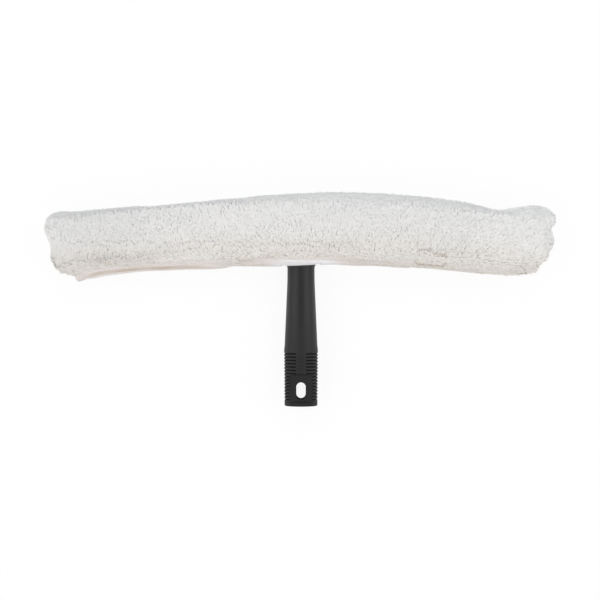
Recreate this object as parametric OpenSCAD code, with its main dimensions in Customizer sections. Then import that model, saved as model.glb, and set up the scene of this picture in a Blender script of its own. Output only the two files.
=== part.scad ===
// Window scrubber: a bowed washer sleeve of cut pile on a T bar with a hollow grip.
// It lies flat as laid down on a table: X runs along the bar, +Y points away from
// the grip and +Z is up. Sizes are in millimetres.

/* [Bow and crossbar] */
// Radius of the arc that the bar and the sleeve follow
bow_r = 1500; // [1300:10:2200]
// Half of the channel's length, up to the end caps
channel_half = 201; // [190:0.5:203]
// Height of the crossbar across the bow
bar_h = 34; // [30:0.5:36]
// Thickness of the crossbar, front to back
bar_t = 16; // [14:0.5:18]
// Wall thickness of the channel
bar_wall = 2.2; // [1.6:0.1:3]
// Distance between the cross ribs that make the water cells
rib_pitch = 24; // [20:0.5:30]
// Thickness of a cross rib
rib_t = 1.6; // [1.2:0.1:2.4]
// How far the ribs stop below the open side
rib_drop = 2; // [1:0.5:4]
// Radius of the water hole in each cell
drain_r = 2.6; // [1.5:0.1:4]
// Length that an end cap's plug reaches into the channel
plug_l = 9; // [5:0.5:11]
// Play between a plug and the channel's walls
plug_gap = 0.15; // [0.05:0.05:0.3]
// Edge rounding of the end caps
cap_round = 3; // [1:0.5:6]

/* [Grip] */
// Distance from the bar's centreline to the open end of the grip
grip_reach = 159; // [150:0.5:175]
// Radius of the grip at its open end
end_r = 14.8; // [14.4:0.1:15.6]
// Radius where the ribbed part starts
collar_r = 15.25; // [14.8:0.05:16]
// Distance from the open end to the start of the ribbed part
collar_back = 51; // [49:0.5:56]
// Radius of the smooth shaft just above the ribbed part
shaft_r = 14.75; // [14:0.05:15]
// Radius of the neck under the sleeve
neck_r = 12.2; // [11.6:0.1:13]
// Distance from the bar's centreline to the narrowest part of the neck
neck_at = 36; // [35:0.5:40]
// Length of the nearly straight part of the neck
neck_l = 11; // [8:0.5:14]
// Fillet radius of the flare that the neck makes towards the bar
flare_r = 7; // [5:0.5:8]
// Angle that the flare's fillet turns through
flare_turn = 60; // [40:5:65]

/* [Ribbed part and hanging slot] */
// Number of grooves that run up to the middle strip
long_grooves = 7; // [4:1:7]
// Number of short grooves beside the flat panel
short_grooves = 8; // [5:1:8]
// Distance between two grooves
groove_pitch = 2.93; // [2.5:0.01:3]
// Width of a groove at the surface
groove_w = 1.25; // [0.8:0.05:1.6]
// Depth of a groove
groove_d = 0.75; // [0.3:0.05:1]
// Distance from the open end to the middle of the last groove
groove_back = 6; // [5:0.5:8]
// Half width of the smooth strip between the long grooves
strip_half = 4.5; // [3:0.25:6]
// Depth of the fine lines across that strip
fine_d = 0.2; // [0.1:0.05:0.3]
// Width of a fine line
fine_w = 0.6; // [0.4:0.1:0.8]
// Width of the flattened panel round the hanging slot
panel_w = 20.2; // [16:0.2:21]
// Distance from the open end to the panel's lower edge
panel_back = 3.2; // [2:0.2:5]
// How far the panel lies below the round surface in its middle
panel_d = 1.7; // [0.8:0.1:2]
// Width of the hanging slot
hang_w = 8.5; // [6:0.5:9]
// Length of the hanging slot
hang_l = 15.6; // [12:0.2:17]
// Distance from the open end to the lower end of the hanging slot
hang_back = 6; // [5:0.5:8]

/* [Pole socket] */
// Radius of the straight socket that a pole's cone plugs into
socket_r = 11; // [10:0.1:11.2]
// Length of the straight socket
socket_l = 38; // [20:1:45]
// Radius of the lead-in at the mouth, past the hanging slot
mouth_r = 11.5; // [11.2:0.1:11.8]
// Depth of the lead-in
mouth_l = 25; // [24:0.5:28]
// Radius of the hollow at its blind end in the neck
core_r = 9; // [7:0.25:9.6]
// Distance from the bar's centreline to the hollow's blind end
core_end = 36; // [32:0.5:40]

/* [Saddle joint] */
// Thickness of the saddle that lies along the bar's underside
saddle_t = 4; // [3:0.25:4.5]
// Half length of the saddle
saddle_half = 40; // [34:1:44]
// Thickness of the saddle, front to back
saddle_w = 15; // [12:0.5:16]
// Length of the tongue that goes into the bar's underside
tongue_l = 16; // [10:0.5:18]
// Thickness of the tongue
tongue_t = 8; // [5:0.5:9]
// Height of the tongue inside the channel
tongue_h = 9; // [5:0.5:12]
// Play round the tongue in its hole
tongue_gap = 0.2; // [0.1:0.05:0.4]
// Distance from the grip's axis to each saddle screw
screw_at = 30; // [28:0.5:34]
// Shank radius of a saddle screw
screw_r = 1.75; // [1.5:0.05:2]
// Head radius of a saddle screw
screw_head_r = 3.5; // [3:0.1:4]
// Height of a screw head
screw_head_h = 1.9; // [1.4:0.1:2.2]
// Play round a screw's head and shank in the saddle
screw_gap = 0.2; // [0.1:0.05:0.3]
// Length of a screw below its head
screw_l = 14; // [10:0.5:16]
// Radius of the bosses that the screws bite into
boss_r = 4; // [3.2:0.1:5]

/* [Sleeve] */
// Length of the sleeve along its middle
sleeve_l = 454; // [446:1:460]
// How far the sleeve sits to the right of the grip's axis
sleeve_shift = -0.9; // [-3:0.1:3]
// Height of the sleeve across the bow
sleeve_h = 64; // [63:0.5:68]
// Pile in front of the bar
pile_front = 14; // [12:0.5:16]
// Pressed pile behind the bar, which the tool lies on
pile_back = 7.2; // [7:0.1:9]
// Rounding of the sleeve's front edges
front_round = 13; // [9:0.5:13.5]
// Rounding of the sleeve's back edges
back_round = 8; // [5:0.5:9]
// Play between the bar and the sleeve's inside
sleeve_gap = 0.4; // [0.2:0.1:0.8]
// Corner radius of the left end, away from the grip
end_ul = 9; // [6:1:14]
// Corner radius of the right end, away from the grip
end_ur = 10; // [6:1:14]
// Corner radius of the left end, towards the grip
end_ll = 26; // [14:1:30]
// Corner radius of the right end, towards the grip
end_lr = 34; // [20:1:38]
// Rounding of the ends seen along the handle
end_round = 12; // [6:0.5:14]
// Width of the sewn welt that closes each end
seam_w = 5; // [3:0.5:6]
// How far a welt stands out of the end's pile
seam_out = 0.5; // [0.3:0.1:0.8]
// Depth of the welt in the pile
seam_in = 3; // [2:0.5:5]

/* [Closure flap] */
// Left end of the flap, from the grip's axis
flap_left = 200; // [190:1:203]
// Right end of the flap, from the grip's axis
flap_right = 104; // [90:1:120]
// Line on the sleeve's front that the flap folds about, below the bar's centreline
fold_at = 19; // [18:0.25:19]
// Clearance round the flap
flap_gap = 0.3; // [0.2:0.05:0.5]
// Play between the flap's front wall and the bar
flap_in = 1; // [0.6:0.1:2]
// Thickness of the sleeve's back lip under the flap
lip_t = 5.9; // [5:0.1:6.5]
// Thickness of the smooth woven band on the flap's lower edge
band_t = 1.5; // [1:0.1:2]
// Height of the band seen from the front
band_h = 4.2; // [3:0.2:6]
// Radius of the crease where the pile is sewn to the band
crease_r = 0.9; // [0.6:0.1:1.2]
// Clearance round the grip's flare
slot_gap = 0.9; // [0.6:0.1:2]
// Clearance in front of the neck
slot_front = 1.8; // [1.5:0.1:2.4]
// Reach of the folded corner tip below the flap's end
tip_reach = 3.4; // [1:0.2:5]
// Length of the folded corner tip along the sleeve
tip_l = 15; // [10:1:20]
// Thickness of the folded corner tip
tip_t = 2.4; // [1.6:0.2:3]
// Clearance between the folded corner tip and the band's curved edge
tip_gap = 0.2; // [0.1:0.05:0.4]

/* [Closing strip and tapes] */
// Thickness of the woven strip that closes the bar in
strip_t = 1.5; // [1:0.1:1.6]
// How far the strip is sewn into the back lip
strip_sewn = 3; // [1:0.5:4]
// Thickness of each fastening tape
tape_t = 1.3; // [1:0.1:1.4]
// Width of the fastening tapes
tape_w = 15; // [10:0.5:15.5]
// Distance from the grip's axis to the tapes
tape_start = 28; // [26:1:40]
// Distance that the tapes stop short of the flap's ends
tape_short = 8; // [5:1:20]
// Distance between two stitches along the band
stitch_pitch = 7; // [5:0.5:12]
// Length of one stitch
stitch_l = 4; // [2:0.5:4.5]
// Thread radius
thread_r = 0.45; // [0.3:0.05:0.6]
// Number of overcast threads in each bar tack
tack_threads = 5; // [3:1:6]
// Length of an overcast thread
tack_l = 8; // [5:0.5:10]
// Distance from the slot to the first overcast thread
tack_gap = 0.6; // [0.3:0.1:1.2]

/* [Colours] */
// Cut pile
pile_colour = [0.86, 0.86, 0.84];
// Woven band, strip and tapes
woven_colour = [0.89, 0.89, 0.9];
// Moulded plastic
plastic_colour = [0.14, 0.14, 0.14];
// Plated screws
screw_colour = [0.7, 0.7, 0.68];
// Seam thread
thread_colour = [0.8, 0.78, 0.74];

/* [Hidden] */
$fn = 64;
arc_fn = 720;
over = 1;
cut_past = 5;
cut_far = 10;

// Levels across the bow, from the bar's centreline
bar_v = bar_h / 2;
top_v = sleeve_h / 2;
saddle_v = bar_v + saddle_t;
strip_v = saddle_v + sleeve_gap;
hook_v = strip_v + strip_t;
loop_v = hook_v + tape_t + flap_gap;
flap_v = loop_v + tape_t;
band_v = top_v - band_h;

// Levels front to back
bar_w = bar_t / 2;
front_w = bar_w + pile_front;
back_w = bar_w + pile_back;
arm_w = bar_w + flap_in;
lip_w = back_w - lip_t;
slot_w = neck_r + slot_front;
flare_max = neck_r + flare_r * (1 - cos(flare_turn));
slot_half = flare_max + slot_gap;

// Where the pile meets the band on the rounded lower front edge, and how it faces
crease_w = front_w - front_round
    + sqrt(pow(front_round, 2) - pow(band_v - (top_v - front_round), 2));
crease_turn = asin((band_v - (top_v - front_round)) / front_round);
sunk = crease_r - thread_r - 0.02;

// The roundings of the ends run into the sleeve's faces at a slight angle
run_in = 0.4;

// Ends of the sleeve's middle line
left_x = sleeve_shift - sleeve_l / 2;
right_x = sleeve_shift + sleeve_l / 2;
reach_low = top_v + bow_r - sqrt(bow_r * bow_r - sleeve_l * sleeve_l / 4) + cut_far;

// Stations of the grip, as distances from the bar's centreline
collar_at = grip_reach - collar_back;
last_groove = grip_reach - groove_back;
groove_n = long_grooves + short_grooves;
first_groove = last_groove - (groove_n - 1) * groove_pitch;
panel_low = grip_reach - panel_back;
panel_top = last_groove - (short_grooves - 0.5) * groove_pitch;
panel_z = end_r - panel_d;
panel_half = panel_w / 2;
panel_side_z = sqrt(end_r * end_r - panel_half * panel_half);
panel_sag = panel_z - panel_side_z;
panel_r = (panel_half * panel_half + panel_sag * panel_sag) / (2 * panel_sag);

// The screws end inside their bosses
boss_top = saddle_v - screw_head_h - screw_gap - screw_l - 2.5;

// The tool lies on its back with the sleeve and the grip on the table
rest_z = max(collar_r, back_w);
mid_y = (top_v - grip_reach) / 2;

function grip_r(d) = end_r + (collar_r - end_r) * (grip_reach - d) / collar_back;

module place() {
    translate([-sleeve_shift, -mid_y, rest_z])
        children();
}

// Sweeps a section along the bow. In the section, X is across the bow and Y is up.
module bowed(x_from, x_to) {
    a_from = asin(x_from / bow_r);
    a_to = asin(x_to / bow_r);
    translate([0, -bow_r, 0])
        rotate([0, 0, 90 - a_to])
            rotate_extrude(angle = a_to - a_from, $fn = arc_fn)
                translate([bow_r, 0])
                    children();
}

// Puts something on the bow, square to it.
module on_bow(x) {
    translate([0, -bow_r, 0])
        rotate([0, 0, -asin(x / bow_r)])
            translate([0, bow_r, 0])
                children();
}

// A rectangle in the section, between two levels across and two levels up.
module band(v_from, v_to, w_from, w_to) {
    translate([v_from, w_from])
        square([v_to - v_from, w_to - w_from]);
}

// Half of a box outline that starts at Y = 0 and has two rounded corners at depth d.
module round_half(l, d, r) {
    translate([-l / 2, 0])
        square([l, d - r]);
    translate([-l / 2 + r, 0])
        square([l - 2 * r, d]);
    for (side = [-1, 1])
        translate([side * (l / 2 - r), d - r])
            circle(r = r);
}

// What a rounded corner leaves out. The corner points to +X +Y.
module corner_waste(r) {
    difference() {
        translate([0, 0])
            square([r + over, r + over]);
        circle(r = r);
    }
}

// Turns the grip's stations into the row's axes: distance along -Y.
module down_grip(from) {
    translate([0, -from, 0])
        rotate([90, 0, 0])
            children();
}

// Outline of the grip from the flare to the open end.
module grip_outline() {
    steps = 8;
    flare = [for (i = [steps : -1 : 0])
        [neck_r + flare_r * (1 - cos(flare_turn * i / steps)),
        neck_at - flare_r * sin(flare_turn * i / steps)]];
    polygon(concat(
        [[0, saddle_v - 0.5], [flare_max, saddle_v - 0.5]],
        flare,
        [[neck_r + 0.1, neck_at + neck_l],
        [shaft_r, collar_at - 3.2],
        [collar_r - 0.15, collar_at - 0.4],
        [collar_r, collar_at + 0.6],
        [end_r, grip_reach - 0.8],
        [end_r - 0.7, grip_reach],
        [0, grip_reach]]));
}

// Hollow of the grip: lead-in, straight socket and tapered core.
module grip_hollow() {
    down_grip(grip_reach - mouth_l)
        cylinder(r = mouth_r, h = mouth_l + over);
    down_grip(grip_reach - mouth_l - socket_l)
        cylinder(r = socket_r, h = socket_l + over);
    down_grip(core_end)
        cylinder(r1 = core_r, r2 = socket_r - 0.6, h = grip_reach - mouth_l - socket_l - core_end + 0.01);
}

// One groove round the grip, left out over the middle strip on the front and the back.
module groove(d, half) {
    r = grip_r(d);
    difference() {
        down_grip(d)
            rotate_extrude()
                polygon([
                    [r - groove_d, -groove_w * 0.28],
                    [r - groove_d, groove_w * 0.28],
                    [r + 0.2, groove_w * 0.6],
                    [r + 0.2, -groove_w * 0.6]]);
        translate([-half, -d - groove_w, -collar_r - over])
            cube([2 * half, 2 * groove_w, 2 * collar_r + 2 * over]);
    }
}

// Fine line across the smooth strip between two long grooves.
module fine_line(d) {
    r = grip_r(d);
    intersection() {
        down_grip(d + fine_w / 2)
            difference() {
                translate([0, 0, -fine_w])
                    cylinder(r = r + over, h = fine_w);
                translate([0, 0, -fine_w - over])
                    cylinder(r = r - fine_d, h = fine_w + 2 * over);
            }
        translate([-strip_half + 0.8, -d - fine_w, -collar_r - over])
            cube([2 * strip_half - 1.6, 2 * fine_w, 2 * collar_r + 2 * over]);
    }
}

// The flattened panel, cut in from +Z.
module panel_cut() {
    intersection() {
        translate([-panel_half, 0, 0])
            rotate([90, 0, 90])
                linear_extrude(height = panel_w)
                    polygon([
                        [-panel_low, panel_side_z - over],
                        [-panel_low, collar_r + over],
                        [-panel_top + panel_d + over, collar_r + over],
                        [-panel_top, panel_z],
                        [-panel_top, panel_side_z - over]]);
        difference() {
            translate([-panel_half - over, -grip_reach, panel_side_z - over])
                cube([panel_w + 2 * over, grip_reach, collar_r]);
            translate([0, 0, panel_z - panel_r])
                down_grip(0)
                    cylinder(r = panel_r, h = grip_reach + over, $fn = 128);
        }
    }
}

// Hanging slot through both walls.
module hang_slot() {
    r = hang_w / 2;
    low = grip_reach - hang_back;
    for (d = [low - r, low - hang_l + r])
        translate([0, -d, -collar_r - over])
            cylinder(r = r, h = 2 * collar_r + 2 * over);
    translate([-r, -low + r, -collar_r - over])
        cube([hang_w, hang_l - 2 * r, 2 * collar_r + 2 * over]);
}

// The saddle, its tongue and the flare are as deep as the wedge lets them be.
module head_wedge() {
    rotate([90, 0, 90])
        linear_extrude(height = 2 * (saddle_half + over), center = true)
            polygon([
                [-grip_reach - over, -collar_r - over],
                [-neck_at, -collar_r - over],
                [-neck_at + 3, -neck_r - 0.8],
                [-saddle_v, -saddle_w / 2],
                [bar_v, -saddle_w / 2],
                [bar_v, saddle_w / 2],
                [-saddle_v, saddle_w / 2],
                [-neck_at + 3, neck_r + 0.8],
                [-neck_at, collar_r + over],
                [-grip_reach - over, collar_r + over]]);
}

module screw_seat(r, from, to) {
    for (side = [-1, 1])
        on_bow(side * screw_at)
            translate([0, -from, 0])
                rotate([-90, 0, 0])
                    cylinder(r = r, h = from - to);
}

module handle_shape() {
    difference() {
        intersection() {
            union() {
                down_grip(0)
                    rotate_extrude()
                        grip_outline();
                bowed(-saddle_half, saddle_half)
                    band(-saddle_v, -bar_v, -saddle_w / 2 - over, saddle_w / 2 + over);
                translate([-tongue_l / 2, -bar_v - 0.5, -tongue_t / 2])
                    cube([tongue_l, tongue_h + bar_wall + 0.5, tongue_t]);
            }
            head_wedge();
        }
        grip_hollow();
        hang_slot();
        panel_cut();
        mirror([0, 0, 1])
            panel_cut();
        for (i = [0 : long_grooves - 1])
            groove(first_groove + i * groove_pitch, strip_half);
        for (i = [long_grooves : groove_n - 1])
            groove(first_groove + i * groove_pitch, panel_half);
        for (i = [0 : long_grooves - 3])
            fine_line(first_groove + (i + 0.6) * groove_pitch);
        screw_seat(screw_r + screw_gap, saddle_v + over, bar_v - 0.5);
        screw_seat(screw_head_r + screw_gap, saddle_v + over, saddle_v - screw_head_h - screw_gap);
    }
}

module handle() {
    color(plastic_colour)
        place()
            handle_shape();
}

// Walls of the channel, open to the front.
module channel_walls() {
    bowed(-channel_half, channel_half)
        difference() {
            band(-bar_v, bar_v, -bar_w, bar_w);
            band(-bar_v + bar_wall, bar_v - bar_wall, -bar_w + bar_wall, bar_w + over);
        }
}

module water_cells() {
    cells = floor((channel_half - plug_l - rib_pitch / 2) / rib_pitch);
    for (side = [-1, 1])
        for (i = [0 : cells])
            on_bow(side * (i + 0.5) * rib_pitch)
                translate([-rib_t / 2, -bar_v + bar_wall / 2, -bar_w + bar_wall / 2])
                    cube([rib_t, bar_h - bar_wall, bar_t - bar_wall / 2 - rib_drop]);
    bowed(-channel_half + plug_l + over, -screw_at - boss_r - 2)
        band(-rib_t / 2, rib_t / 2, -bar_w + bar_wall / 2, bar_w - 2 * rib_drop);
    bowed(screw_at + boss_r + 2, channel_half - plug_l - over)
        band(-rib_t / 2, rib_t / 2, -bar_w + bar_wall / 2, bar_w - 2 * rib_drop);
}

module water_holes() {
    cells = floor((channel_half - plug_l - rib_pitch) / rib_pitch);
    for (side = [-1, 1])
        for (i = [1 : cells])
            on_bow(side * i * rib_pitch) {
                translate([0, bar_v + over, 0])
                    rotate([90, 0, 0])
                        cylinder(r = drain_r, h = bar_wall + 2 * over);
                if (i * rib_pitch > saddle_half + drain_r)
                    translate([0, -bar_v + bar_wall + over, 0])
                        rotate([90, 0, 0])
                            cylinder(r = drain_r, h = bar_wall + 2 * over);
            }
}

module crossbar() {
    color(plastic_colour)
        place()
            difference() {
                union() {
                    channel_walls();
                    water_cells();
                    screw_seat(boss_r, bar_v - bar_wall / 2, boss_top);
                }
                water_holes();
                screw_seat(screw_r, bar_v + over, boss_top + 1.5);
                translate([-tongue_l / 2 - tongue_gap, -bar_v - over, -tongue_t / 2 - tongue_gap])
                    cube([tongue_l + 2 * tongue_gap, bar_wall + 2 * over, tongue_t + 2 * tongue_gap]);
            }
}

// End cap at the right end: a round nose and a plug between the channel's walls.
module end_cap() {
    plug_h = bar_h - 2 * bar_wall - 2 * plug_gap;
    on_bow(channel_half) {
        rotate([0, 0, -90])
            rotate_extrude(angle = 180)
                intersection() {
                    union() {
                        translate([0, 0])
                            round_half(bar_h, bar_w, cap_round);
                        mirror([0, 1])
                            round_half(bar_h, bar_w, cap_round);
                    }
                    translate([0, -bar_w])
                        square([bar_v, bar_t]);
                }
        translate([-plug_l, -plug_h / 2, -bar_w + bar_wall + plug_gap])
            cube([plug_l, plug_h, bar_t - bar_wall - plug_gap - 1]);
    }
}

module end_cap_right() {
    color(plastic_colour)
        place()
            end_cap();
}

module end_cap_left() {
    color(plastic_colour)
        place()
            mirror([1, 0, 0])
                end_cap();
}

module saddle_screws() {
    color(screw_colour)
        place()
            for (side = [-1, 1])
                on_bow(side * screw_at)
                    translate([0, -saddle_v + screw_head_h + screw_gap, 0])
                        rotate([-90, 0, 0])
                            difference() {
                                union() {
                                    translate([0, 0, -screw_head_h])
                                        cylinder(r1 = screw_head_r - 1, r2 = screw_head_r, h = screw_head_h);
                                    cylinder(r = screw_r, h = screw_l - 1);
                                    translate([0, 0, screw_l - 1.01])
                                        cylinder(r1 = screw_r, r2 = 0.4, h = 1);
                                }
                                for (turn = [0, 90])
                                    rotate([0, 0, turn])
                                        translate([-screw_head_r * 0.6, -0.4, -screw_head_h - over])
                                            cube([screw_head_r * 1.2, 0.8, over + 1]);
                            }
}

// Section of the pile, without its hollow.
module pile_section(inset = 0) {
    round_half(sleeve_h - 2 * inset, front_w - inset, front_round - inset);
    mirror([0, 1])
        round_half(sleeve_h - 2 * inset, back_w - inset, back_round - inset);
}

// What an end's rounding leaves out, seen from above. In this frame +X points out of
// the sleeve.
module end_waste(upper, lower, inset) {
    translate([0, 0, -back_w - over])
        linear_extrude(height = back_w + front_w + 2 * over) {
            translate([-inset, -top_v - 2 * over])
                square([inset + cut_far + 2 * over, sleeve_h + 4 * over]);
            translate([-upper - inset, top_v - upper - run_in])
                corner_waste(upper);
            translate([-lower - inset, lower - top_v + run_in])
                mirror([0, 1])
                    corner_waste(lower);
        }
}

// The same for the front and the back edge, seen along the grip.
module edge_waste(inset) {
    rotate([90, 0, 0])
        linear_extrude(height = sleeve_h + 4 * over, center = true) {
            translate([-end_round - inset, front_w - end_round - run_in])
                corner_waste(end_round);
            translate([-back_round - inset, back_round - back_w + run_in])
                mirror([0, 1])
                    corner_waste(back_round);
        }
}

module pile_outer(inset = 0) {
    difference() {
        bowed(left_x - cut_past, right_x + cut_past)
            pile_section(inset);
        on_bow(right_x)
            end_waste(end_ur, end_lr, inset);
        on_bow(right_x)
            edge_waste(inset);
        on_bow(left_x)
            mirror([1, 0, 0])
                end_waste(end_ul, end_ll, inset);
        on_bow(left_x)
            mirror([1, 0, 0])
                edge_waste(inset);
    }
}

// Space for the bar and the saddle inside the sleeve.
module sleeve_hollow() {
    bowed(-channel_half, channel_half)
        band(-strip_v, bar_v + sleeve_gap, -bar_w - sleeve_gap, bar_w + sleeve_gap);
    for (side = [-1, 1])
        on_bow(side * channel_half)
            translate([0, 0, -bar_w - sleeve_gap])
                cylinder(r = bar_v + sleeve_gap, h = bar_t + 2 * sleeve_gap);
}

// What the tube leaves open for the flap, the closing strip and the tapes.
module mouth_space() {
    translate([-flap_left - flap_gap, -reach_low, bar_w])
        cube([flap_left + flap_right + 2 * flap_gap, reach_low - fold_at + flap_gap, front_w]);
    intersection() {
        translate([-flap_left - flap_gap, -reach_low, -lip_w - flap_gap])
            cube([flap_left + flap_right + 2 * flap_gap, reach_low, lip_w + flap_gap + bar_w + over]);
        bowed(-flap_left - cut_past, flap_right + cut_past)
            band(-top_v - cut_far, -strip_v, -lip_w - cut_past, front_w);
    }
}

// The flap is an L in the section: a front wall and a sole under the closing strip.
module flap_space() {
    translate([-flap_left, -reach_low, arm_w])
        cube([flap_left + flap_right, reach_low - fold_at, front_w]);
    intersection() {
        translate([-flap_left, -reach_low, -lip_w])
            cube([flap_left + flap_right, reach_low, lip_w + arm_w + over]);
        bowed(-flap_left - cut_past, flap_right + cut_past)
            band(-top_v - cut_far, -flap_v, -lip_w - cut_past, front_w);
    }
}

// The closing strip, with the edges that are sewn into the tube.
module strip_space() {
    bowed(-flap_left - strip_sewn, flap_right + strip_sewn)
        band(-hook_v, -strip_v, -lip_w - strip_sewn, bar_w + sleeve_gap);
}

// Room for the neck and the flare in the tube's back lip and under it.
module neck_space() {
    intersection() {
        down_grip(0)
            cylinder(r = slot_half, h = grip_reach);
        translate([-slot_half, -reach_low, -neck_r - slot_gap])
            cube([2 * slot_half, reach_low - saddle_v, neck_r + slot_gap + slot_w]);
    }
    translate([-slot_half, -reach_low, -lip_w])
        cube([2 * slot_half, reach_low - saddle_v, slot_w + lip_w]);
}

module sleeve_body() {
    color(pile_colour)
        place()
            difference() {
                pile_outer();
                sleeve_hollow();
                mouth_space();
                strip_space();
                neck_space();
                welt(right_x, end_ur, end_lr);
                mirror([1, 0, 0])
                    welt(-left_x, end_ul, end_ll);
            }
}

// Sewn welt that closes an end, along the end's straight edge.
module welt(x, upper, lower) {
    welt_l = sleeve_h - upper - lower;
    on_bow(x)
        translate([0, lower - top_v, (front_w - back_w) / 2]) {
            translate([-seam_in, 0, -seam_w / 2])
                cube([seam_in, welt_l, seam_w]);
            rotate([-90, 0, 0])
                cylinder(r = seam_out, h = welt_l);
        }
}

module end_seam_right() {
    color(woven_colour)
        place()
            welt(right_x, end_ur, end_lr);
}

module end_seam_left() {
    color(woven_colour)
        place()
            mirror([1, 0, 0])
                welt(-left_x, end_ul, end_ll);
}

// Woven strip under the bar, sewn into the back lip, with the slot for the grip.
module closing_strip() {
    color(woven_colour)
        place()
            difference() {
                strip_space();
                translate([-slot_half, -reach_low, -lip_w - 0.4])
                    cube([2 * slot_half, reach_low, lip_w + front_w]);
            }
}

// A length of fastening tape between two levels across the bow.
module tape(x_from, x_to, v_from) {
    mid = (bar_w + sleeve_gap - lip_w) / 2;
    bowed(x_from, x_to)
        band(-v_from - tape_t, -v_from, mid - tape_w / 2, mid + tape_w / 2);
}

module hook_tape_left() {
    color(woven_colour)
        place()
            tape(-flap_left + tape_short, -tape_start, hook_v);
}

module hook_tape_right() {
    color(woven_colour)
        place()
            tape(tape_start, flap_right - tape_short, hook_v);
}

module loop_tape_left() {
    color(woven_colour)
        place()
            tape(-flap_left + tape_short, -tape_start, loop_v);
}

module loop_tape_right() {
    color(woven_colour)
        place()
            tape(tape_start, flap_right - tape_short, loop_v);
}

// Overcast threads at both ends of the slot, over the strip's edge.
module slot_bar_tacks() {
    color(thread_colour)
        place()
            for (side = [-1, 1])
                for (i = [0 : tack_threads - 1])
                    on_bow(side * (slot_half + tack_gap + i * 2.2 * thread_r))
                        translate([0, -hook_v - thread_r, -tack_l / 2])
                            cylinder(r = thread_r, h = tack_l);
}

// The flap's own solid, before the band takes its outer layer.
module flap_solid() {
    difference() {
        intersection() {
            pile_outer();
            flap_space();
        }
        translate([-slot_half, -reach_low, -back_w])
            cube([2 * slot_half, reach_low, back_w + slot_w]);
    }
}

module band_zone() {
    difference() {
        bowed(-flap_left - cut_far, flap_right + cut_far)
            band(-top_v - over, -band_v, -back_w, front_w);
        bowed(-flap_left - cut_far - over, flap_right + cut_far + over)
            intersection() {
                pile_section(band_t);
                band(-top_v, top_v, -lip_w - over, front_w);
            }
    }
}

module closure_flap() {
    color(pile_colour)
        place()
            difference() {
                flap_solid();
                band_zone();
                crease();
            }
}

module flap_band() {
    color(woven_colour)
        place()
            difference() {
                intersection() {
                    flap_solid();
                    band_zone();
                }
                crease();
            }
}

// Groove that the stitches pull in along the line where the pile meets the band.
module crease() {
    bowed(-flap_left - cut_far, flap_right + cut_far)
        translate([-band_v, crease_w])
            circle(r = crease_r, $fn = 24);
}

// Stitches sunk into the crease between the pile and the band.
module band_stitching() {
    count = floor((flap_left + flap_right - 8) / stitch_pitch);
    first = -flap_left + (flap_left + flap_right - (count - 1) * stitch_pitch) / 2;
    color(thread_colour)
        place()
            for (i = [0 : count - 1])
                on_bow(first + i * stitch_pitch)
                    translate([-stitch_l / 2, -band_v + sunk * sin(crease_turn), crease_w - sunk * cos(crease_turn)])
                        rotate([0, 90, 0])
                            cylinder(r = thread_r, h = stitch_l);
}

// Folded corner of the band at the flap's left end, which points out of the edge.
module corner_tip() {
    w = front_w - front_round;
    color(woven_colour)
        place()
            on_bow(-flap_left + tip_l / 2 + 1)
                translate([0, -top_v - tip_gap, w - tip_t])
                    linear_extrude(height = tip_t)
                        polygon([
                            [-tip_l / 2, 0],
                            [-tip_l / 2 + 2, -tip_reach],
                            [-tip_l / 2 + 4, -tip_reach + 0.2],
                            [tip_l / 2, 0]]);
}

handle();
crossbar();
end_cap_left();
end_cap_right();
saddle_screws();
sleeve_body();
end_seam_left();
end_seam_right();
closing_strip();
hook_tape_left();
hook_tape_right();
slot_bar_tacks();
closure_flap();
flap_band();
band_stitching();
loop_tape_left();
loop_tape_right();
corner_tip();
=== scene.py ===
import math
import bpy
import numpy as np
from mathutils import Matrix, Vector
from mathutils.bvhtree import BVHTree


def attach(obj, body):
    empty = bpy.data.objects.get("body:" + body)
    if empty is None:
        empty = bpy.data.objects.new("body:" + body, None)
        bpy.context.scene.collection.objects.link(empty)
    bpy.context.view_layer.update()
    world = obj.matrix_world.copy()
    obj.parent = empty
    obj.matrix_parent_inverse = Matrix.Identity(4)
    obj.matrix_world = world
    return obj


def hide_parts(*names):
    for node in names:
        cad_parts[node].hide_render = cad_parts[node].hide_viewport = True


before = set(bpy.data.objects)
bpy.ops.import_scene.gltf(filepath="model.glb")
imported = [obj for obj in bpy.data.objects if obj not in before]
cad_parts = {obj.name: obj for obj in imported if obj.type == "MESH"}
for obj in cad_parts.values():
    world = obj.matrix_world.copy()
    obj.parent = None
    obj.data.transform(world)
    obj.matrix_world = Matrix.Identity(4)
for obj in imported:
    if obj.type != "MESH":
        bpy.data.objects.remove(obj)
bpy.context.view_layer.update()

# Window scrubber: a cut pile sleeve on a bowed bar, with a closing flap along its
# lower edge and a hollow black grip. Lengths are in millimetres in the bow's own
# frame (along, across, up) until fromBow turns them to the row's metres.

bow = {
    "radius": 1500.0,
    "shift": (0.9, 63.5, 15.25),  # from the tool's origin on the bar to the row's
    "edge": 32.0,  # the CAD sleeve's half height, which the real edges vary from
    "soft": 20.0,  # nothing nearer the bar than this is reshaped
}


def linear(hexColour):
    parts = [int(hexColour[i:i + 2], 16) / 255 for i in (1, 3, 5)]
    return tuple(c / 12.92 if c <= 0.04045 else ((c + 0.055) / 1.055) ** 2.4 for c in parts) + (1.0,)


def toBow(points):
    x = points[:, 0] * 1000 - bow["shift"][0]
    y = points[:, 1] * 1000 - bow["shift"][1] + bow["radius"]
    return np.stack([bow["radius"] * np.arctan2(x, y), np.hypot(x, y) - bow["radius"],
                     points[:, 2] * 1000 - bow["shift"][2]], 1)


def fromBow(b):
    turn = b[:, 0] / bow["radius"]
    reach = bow["radius"] + b[:, 1]
    return np.stack([reach * np.sin(turn) + bow["shift"][0],
                     reach * np.cos(turn) - bow["radius"] + bow["shift"][1],
                     b[:, 2] + bow["shift"][2]], 1) / 1000


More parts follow.
